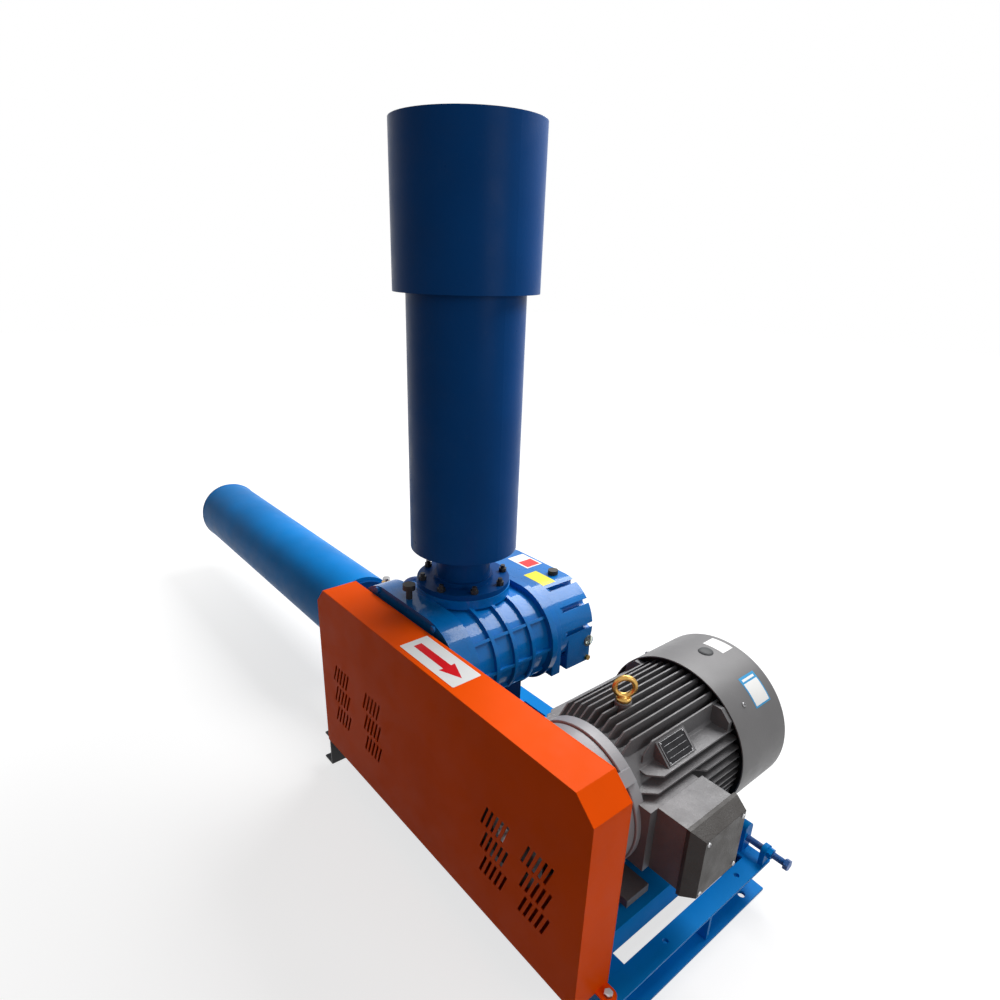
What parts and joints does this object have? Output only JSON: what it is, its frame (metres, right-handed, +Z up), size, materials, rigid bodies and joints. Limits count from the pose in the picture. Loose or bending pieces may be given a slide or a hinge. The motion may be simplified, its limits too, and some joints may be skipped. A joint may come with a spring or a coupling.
{
  "type": "roots blower",
  "caption": "Belt-driven roots blower on a channel base, with foot motor, orange belt guard, tall intake silencer with hood and long discharge silencer.",
  "frame": {"origin": "centre of the four anchor holes, on the floor", "axes": "+X from the blower to the motor, +Y from the belts to the timing gears, +Z up"},
  "size_m": [2.6455, 0.748, 1.674],
  "materials": {
    "blue_paint": "gloss",
    "casing_paint": "gloss",
    "navy_paint": "gloss",
    "orange_paint": "satin",
    "black_paint": "satin",
    "grey_paint": "satin",
    "steel": "satin",
    "cast_iron": "matte",
    "brass": "satin",
    "glass": "gloss",
    "black_plastic": "matte",
    "plate_metal": "satin",
    "belt_rubber": "matte",
    "filter_media": "matte"
  },
  "bodies": {
    "skid": {"frame_front_channel": "blue_paint", "frame_rear_channel": "blue_paint", "frame_end_channel": "blue_paint", "frame_left_channel": "blue_paint", "frame_cross_channels": "blue_paint", "frame_inner_channel": "blue_paint", "guard_leg": "black_paint", "jack_bracket": "blue_paint", "outlet_pedestal": "navy_paint", "blower_casing": "casing_paint", "drive_end_plate": "casing_paint", "gear_end_plate": "casing_paint", "gear_cover": "casing_paint", "bearing_covers": "casing_paint", "rotor_bearings": "steel", "sight_glass": "glass", "drain_plug": "brass", "filler_cap": "black_plastic", "breather_cap": "black_plastic", "casing_bolts": "steel", "inlet_neck": "navy_paint", "inlet_silencer": "navy_paint", "inlet_hood": "navy_paint", "filter_element": "filter_media", "inlet_core": "steel", "inlet_bolts": "steel", "discharge_pipe": "navy_paint", "discharge_bolts": "steel", "discharge_silencer": "blue_paint", "discharge_core": "steel", "outlet_flange": "black_paint", "valve_body": "brass", "guard_cover": "orange_paint", "guard_back_plate": "orange_paint", "guard_bolts": "steel", "drive_belts": "belt_rubber"},
    "relief_disc": {"valve_disc": "steel"},
    "drive_rotor": {"drive_rotor": "cast_iron", "drive_gear": "cast_iron", "blower_pulley": "cast_iron"},
    "driven_rotor": {"driven_rotor": "cast_iron", "driven_gear": "cast_iron"},
    "motor_sled": {"sled_rails": "blue_paint", "motor_frame": "grey_paint", "front_endshield": "grey_paint", "rear_endshield": "grey_paint", "fan_cowl": "grey_paint", "stator": "steel", "terminal_box": "grey_paint", "terminal_lid": "grey_paint", "cable_gland": "black_paint", "eyebolt": "brass", "motor_nameplate": "plate_metal", "foot_bolts": "steel"},
    "motor_rotor": {"motor_shaft": "steel", "motor_fan": "black_plastic", "motor_pulley": "cast_iron"},
    "jack_screw": {"jack_screw": "steel"}
  },
  "joints": [
    {"name": "drive_spin", "type": "hinge", "parent": "skid", "child": "drive_rotor", "pos_m": [-0.369, 0, 0.494], "axis": [0, 1, 0], "continuous": true},
    {"name": "driven_spin", "type": "hinge", "parent": "skid", "child": "driven_rotor", "pos_m": [-0.209, 0, 0.494], "axis": [0, 1, 0], "continuous": true},
    {"name": "motor_slide", "type": "slide", "parent": "skid", "child": "motor_sled", "axis": [1, 0, 0], "range_m": [-0.02, 0], "deforming": ["drive_belts"]},
    {"name": "motor_spin", "type": "hinge", "parent": "motor_sled", "child": "motor_rotor", "pos_m": [0.2215, 0, 0.346], "axis": [0, 1, 0], "continuous": true},
    {"name": "jack_turn", "type": "hinge", "parent": "motor_sled", "child": "jack_screw", "pos_m": [0.45, 0.27, 0.135], "axis": [1, 0, 0], "range_deg": [-3605, 5]},
    {"name": "relief_lift", "type": "slide", "parent": "skid", "child": "relief_disc", "axis": [0, 0, 1], "range_m": [0, 0.012], "stiffness_N_per_m": 800, "springref_m": -0.02}
  ],
  "couplings": [
    {"joint": "driven_spin", "follows": "drive_spin", "ratio": -1},
    {"joint": "motor_spin", "follows": "drive_spin", "ratio": 0.85},
    {"joint": "jack_turn", "follows": "motor_slide", "rad_per_m": 3141.6}
  ]
}
